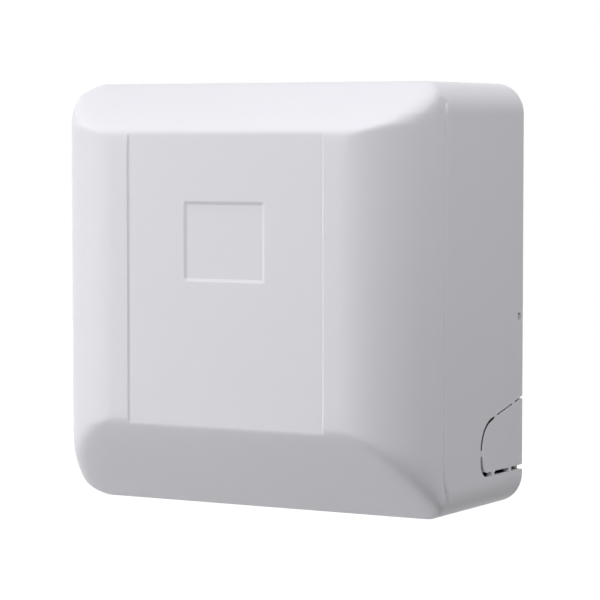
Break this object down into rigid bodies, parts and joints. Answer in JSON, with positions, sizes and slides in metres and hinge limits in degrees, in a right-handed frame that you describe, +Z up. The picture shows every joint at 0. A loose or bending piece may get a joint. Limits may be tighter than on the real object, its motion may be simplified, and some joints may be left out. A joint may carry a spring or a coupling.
{
  "type": "air conditioner drain pump",
  "caption": "Wall-mounted drain pump for an air conditioner: a deep white cover with knock-outs over a tank, a motor pump, a check valve, float switches and a control box.",
  "frame": {"origin": "middle of the back plate's rear face, on the wall", "axes": "+X to the right as seen from the front, +Y into the wall, +Z up; the front faces -Y"},
  "size_m": [0.18, 0.1, 0.18],
  "materials": {
    "cover_plastic": "satin moulded",
    "housing_plastic": "fine moulded grain",
    "tank_plastic": "milky, slightly see-through",
    "pump_plastic": "smooth moulded",
    "blue_plastic": "smooth moulded",
    "grey_plastic": "fine moulded grain",
    "black_rubber": "dull",
    "plated_steel": "zinc plated",
    "bearing_bronze": "sintered",
    "dark_iron": "bare, dark",
    "copper_wire": "enamelled wire",
    "clear_glass": "clear",
    "board_green": "solder mask",
    "black_plastic": "smooth moulded",
    "lamp_green": "tinted",
    "wire_jacket": "soft sleeve"
  },
  "bodies": {
    "pump_unit": {"back_plate": "housing_plastic", "cover_catches": "housing_plastic", "drain_tank": "tank_plastic", "tank_gasket": "black_rubber", "tank_lid": "housing_plastic", "lid_screws": "plated_steel", "tank_screws": "plated_steel", "inlet_elbow": "grey_plastic", "inlet_grommet": "black_rubber", "suction_strainer": "housing_plastic", "pump_casing": "pump_plastic", "pump_cover": "pump_plastic", "pump_screws": "plated_steel", "rubber_mounts": "black_rubber", "mount_screws": "plated_steel", "motor_base": "plated_steel", "lower_bearing": "bearing_bronze", "upper_bearing": "bearing_bronze", "pole_plates": "dark_iron", "coil_bobbins": "housing_plastic", "coil_windings": "copper_wire", "motor_case": "plated_steel", "pump_hose": "black_rubber", "hose_clips": "plated_steel", "valve_body": "pump_plastic", "valve_seal": "black_rubber", "flap_pin": "plated_steel", "outlet_elbow": "grey_plastic", "run_float_stem": "housing_plastic", "alarm_float_stem": "housing_plastic", "stem_nuts": "housing_plastic", "stem_clips": "plated_steel", "reed_switches": "clear_glass", "control_box": "housing_plastic", "control_box_lid": "housing_plastic", "control_board": "board_green", "power_relay": "blue_plastic", "capacitor": "black_plastic", "transformer": "dark_iron", "fuse": "clear_glass", "terminal_block": "grey_plastic", "terminal_screws": "plated_steel", "plug_connectors": "pump_plastic", "test_switch": "black_plastic", "status_lamp": "lamp_green", "control_screws": "plated_steel", "cable_clamp": "housing_plastic", "clamp_screws": "plated_steel", "lead_wires": "wire_jacket"},
    "cover": {"front_cover": "cover_plastic"},
    "rotor": {"motor_shaft": "plated_steel", "rotor_magnet": "dark_iron", "impeller": "blue_plastic", "slinger_ring": "black_rubber"},
    "run_float": {"run_float": "pump_plastic", "run_float_magnet": "dark_iron"},
    "alarm_float": {"alarm_float": "pump_plastic", "alarm_float_magnet": "dark_iron"},
    "valve_flap": {"valve_flap": "black_rubber"},
    "test_button": {"test_button": "blue_plastic"}
  },
  "joints": [
    {"name": "cover_pull", "type": "slide", "parent": "pump_unit", "child": "cover", "axis": [0, -1, 0], "range_m": [0, 0.115], "deforming": ["cover_catches"]},
    {"name": "rotor_spin", "type": "hinge", "parent": "pump_unit", "child": "rotor", "pos_m": [-0.02, -0.046, 0], "axis": [0, 0, 1], "continuous": true},
    {"name": "run_float_rise", "type": "slide", "parent": "pump_unit", "child": "run_float", "axis": [0, 0, 1], "range_m": [0, 0.012]},
    {"name": "alarm_float_rise", "type": "slide", "parent": "pump_unit", "child": "alarm_float", "axis": [0, 0, 1], "range_m": [0, 0.008]},
    {"name": "valve_flap_swing", "type": "hinge", "parent": "pump_unit", "child": "valve_flap", "pos_m": [0.0412, -0.031, -0.0069], "axis": [0, -1, 0], "range_deg": [0, 50]},
    {"name": "test_button_press", "type": "slide", "parent": "pump_unit", "child": "test_button", "axis": [0, 1, 0], "range_m": [0, 0.0015], "stiffness_N_per_m": 600}
  ]
}
